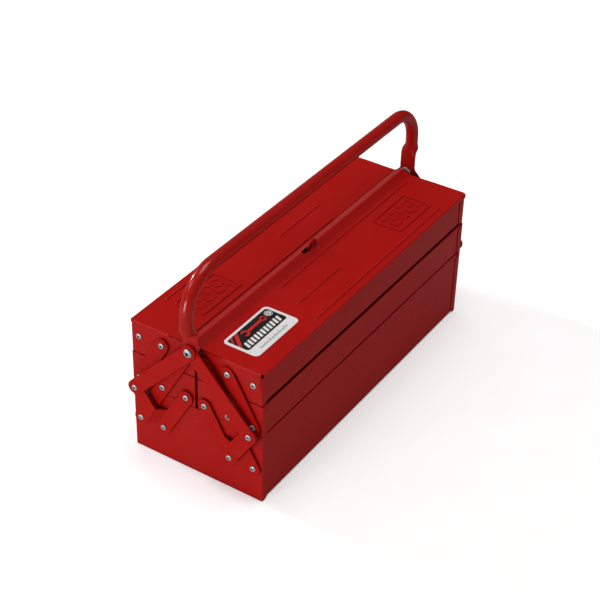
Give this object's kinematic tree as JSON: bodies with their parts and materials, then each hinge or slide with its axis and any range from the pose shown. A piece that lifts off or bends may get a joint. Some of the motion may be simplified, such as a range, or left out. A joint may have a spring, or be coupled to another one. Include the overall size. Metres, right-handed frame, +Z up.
{
  "type": "cantilever carpenter toolbox",
  "caption": "Red sheet-steel cantilever toolbox: a deep base, stepped trays under hinged lids, link arms at both ends and a tubular handle that spreads the trays.",
  "frame": {"origin": "centre of the underside of the base", "axes": "+X along the box, -Y the right long side (the side with the label on its lid), +Z up"},
  "size_m": [0.565, 0.2052, 0.318],
  "materials": {
    "red_sheet": "satin gloss baked enamel",
    "red_strap": "satin gloss baked enamel",
    "red_tube": "gloss baked enamel",
    "zinc_fastener": "bright zinc plate",
    "label": "printed film with a plain pattern"
  },
  "bodies": {
    "base": {"base_shell": "red_sheet", "base_end_a": "red_sheet", "base_end_b": "red_sheet", "base_rivets": "zinc_fastener"},
    "long_arms_right": {"long_arm_right_a": "red_strap", "long_arm_right_b": "red_strap"},
    "bell_cranks_right": {"bell_crank_right_a": "red_strap", "bell_crank_right_b": "red_strap", "tab_rivet_tails_right": "zinc_fastener"},
    "mid_tray_right": {"mid_tray_right_shell": "red_sheet", "mid_tray_right_end_a": "red_sheet", "mid_tray_right_end_b": "red_sheet", "mid_tray_right_rivets": "zinc_fastener"},
    "upper_tray_right": {"upper_tray_right_shell": "red_sheet", "upper_tray_right_end_a": "red_sheet", "upper_tray_right_end_b": "red_sheet", "upper_tray_right_rivets": "zinc_fastener"},
    "short_arms_right": {"short_arm_right_a": "red_strap", "short_arm_right_b": "red_strap"},
    "handle_arms_right": {"handle_arm_right_a": "red_strap", "handle_arm_right_b": "red_strap", "tab_rivets_right": "zinc_fastener"},
    "long_arms_left": {"long_arm_left_a": "red_strap", "long_arm_left_b": "red_strap"},
    "bell_cranks_left": {"bell_crank_left_a": "red_strap", "bell_crank_left_b": "red_strap", "tab_rivet_tails_left": "zinc_fastener"},
    "mid_tray_left": {"mid_tray_left_shell": "red_sheet", "mid_tray_left_end_a": "red_sheet", "mid_tray_left_end_b": "red_sheet", "mid_tray_left_rivets": "zinc_fastener"},
    "upper_tray_left": {"upper_tray_left_shell": "red_sheet", "upper_tray_left_end_a": "red_sheet", "upper_tray_left_end_b": "red_sheet", "upper_tray_left_rivets": "zinc_fastener"},
    "short_arms_left": {"short_arm_left_a": "red_strap", "short_arm_left_b": "red_strap"},
    "handle_arms_left": {"handle_arm_left_a": "red_strap", "handle_arm_left_b": "red_strap", "tab_rivets_left": "zinc_fastener"},
    "lid_right": {"lid_right": "red_sheet", "lock_staple": "red_strap", "label_plate": "label"},
    "lid_left": {"lid_left": "red_sheet"},
    "centre_pivots": {"centre_bolts": "zinc_fastener", "centre_washers": "red_strap", "centre_nuts": "zinc_fastener"},
    "handle": {"handle_tube": "red_tube"}
  },
  "joints": [
    {"name": "fold", "type": "hinge", "parent": "base", "child": "long_arms_right", "pos_m": [0, -0.0894, 0.0525], "axis": [1, 0, 0], "range_deg": [0, 58]},
    {"name": "bell_crank_right", "type": "hinge", "parent": "base", "child": "bell_cranks_right", "pos_m": [0, -0.0523, 0.0525], "axis": [1, 0, 0], "range_deg": [0, 58]},
    {"name": "mid_tray_right_pivot", "type": "hinge", "parent": "long_arms_right", "child": "mid_tray_right", "pos_m": [0, -0.0516, 0.1193], "axis": [1, 0, 0], "range_deg": [-58, 0]},
    {"name": "upper_tray_right_pivot", "type": "hinge", "parent": "long_arms_right", "child": "upper_tray_right", "pos_m": [0, -0.0138, 0.1861], "axis": [1, 0, 0], "range_deg": [-58, 0]},
    {"name": "short_arm_right_pivot", "type": "hinge", "parent": "mid_tray_right", "child": "short_arms_right", "pos_m": [0, -0.0886, 0.1193], "axis": [1, 0, 0], "range_deg": [0, 58]},
    {"name": "lid_right_hinge", "type": "hinge", "parent": "upper_tray_right", "child": "lid_right", "pos_m": [0, -0.08805, 0.1843], "axis": [1, 0, 0], "range_deg": [0, 95]},
    {"name": "fold_left", "type": "hinge", "parent": "base", "child": "long_arms_left", "pos_m": [0, 0.0894, 0.0525], "axis": [-1, 0, 0], "range_deg": [0, 58]},
    {"name": "bell_crank_left", "type": "hinge", "parent": "base", "child": "bell_cranks_left", "pos_m": [0, 0.0523, 0.0525], "axis": [-1, 0, 0], "range_deg": [0, 58]},
    {"name": "mid_tray_left_pivot", "type": "hinge", "parent": "long_arms_left", "child": "mid_tray_left", "pos_m": [0, 0.0516, 0.1193], "axis": [-1, 0, 0], "range_deg": [-58, 0]},
    {"name": "upper_tray_left_pivot", "type": "hinge", "parent": "long_arms_left", "child": "upper_tray_left", "pos_m": [0, 0.0138, 0.1861], "axis": [-1, 0, 0], "range_deg": [-58, 0]},
    {"name": "short_arm_left_pivot", "type": "hinge", "parent": "mid_tray_left", "child": "short_arms_left", "pos_m": [0, 0.0886, 0.1193], "axis": [-1, 0, 0], "range_deg": [0, 58]},
    {"name": "lid_left_hinge", "type": "hinge", "parent": "upper_tray_left", "child": "lid_left", "pos_m": [0, 0.08805, 0.1843], "axis": [-1, 0, 0], "range_deg": [0, 95]},
    {"name": "centre_slide", "type": "slide", "parent": "base", "child": "centre_pivots", "axis": [0, 0, -1], "range_m": [0, 0.10437]},
    {"name": "handle_arm_right_pivot", "type": "hinge", "parent": "centre_pivots", "child": "handle_arms_right", "pos_m": [0, 0, 0.204], "axis": [-1, 0, 0], "range_deg": [0, 25.23]},
    {"name": "handle_arm_left_pivot", "type": "hinge", "parent": "centre_pivots", "child": "handle_arms_left", "pos_m": [0, 0, 0.204], "axis": [1, 0, 0], "range_deg": [0, 25.23]},
    {"name": "handle_tilt", "type": "hinge", "parent": "centre_pivots", "child": "handle", "pos_m": [0, 0, 0.204], "axis": [1, 0, 0], "range_deg": [-42, 42]}
  ],
  "couplings": [
    {"joint": "bell_crank_right", "follows": "fold", "ratio": 1},
    {"joint": "mid_tray_right_pivot", "follows": "fold", "ratio": -1},
    {"joint": "upper_tray_right_pivot", "follows": "fold", "ratio": -1},
    {"joint": "short_arm_right_pivot", "follows": "fold", "ratio": 1},
    {"joint": "fold_left", "follows": "fold", "ratio": 1},
    {"joint": "bell_crank_left", "follows": "fold", "ratio": 1},
    {"joint": "mid_tray_left_pivot", "follows": "fold", "ratio": -1},
    {"joint": "upper_tray_left_pivot", "follows": "fold", "ratio": -1},
    {"joint": "short_arm_left_pivot", "follows": "fold", "ratio": 1},
    {"joint": "centre_slide", "follows": "fold", "m_per_rad": 0.1031},
    {"joint": "handle_arm_right_pivot", "follows": "fold", "ratio": 0.43486},
    {"joint": "handle_arm_left_pivot", "follows": "fold", "ratio": 0.43486}
  ]
}
